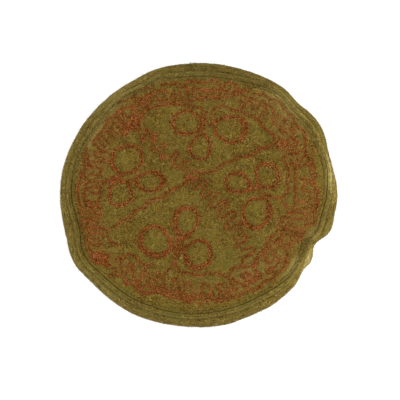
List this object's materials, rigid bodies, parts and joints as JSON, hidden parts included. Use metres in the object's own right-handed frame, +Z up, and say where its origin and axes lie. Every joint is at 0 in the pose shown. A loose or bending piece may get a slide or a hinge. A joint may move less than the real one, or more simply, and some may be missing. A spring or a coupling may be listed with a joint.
{
  "type": "pakol",
  "caption": "Soft round wool cap with a flat embroidered crown sewn to a cloth tube that is rolled up into a thick rim.",
  "frame": {"origin": "middle of the box around the cap, at the level the rolled rim rests on", "axes": "+Z up through the crown, +X across the cap's widest line, +Y towards the back of the crown as seen from above"},
  "size_m": [0.257, 0.2452, 0.0491],
  "materials": {
    "crown_felt": "mottled olive-brown fulled wool",
    "band_felt": "mottled olive-green fulled wool",
    "embroidery_thread": "rust-red wool yarn"
  },
  "bodies": {
    "root": {"crown": "crown_felt", "rolled_band": "band_felt"}
  },
  "joints": []
}
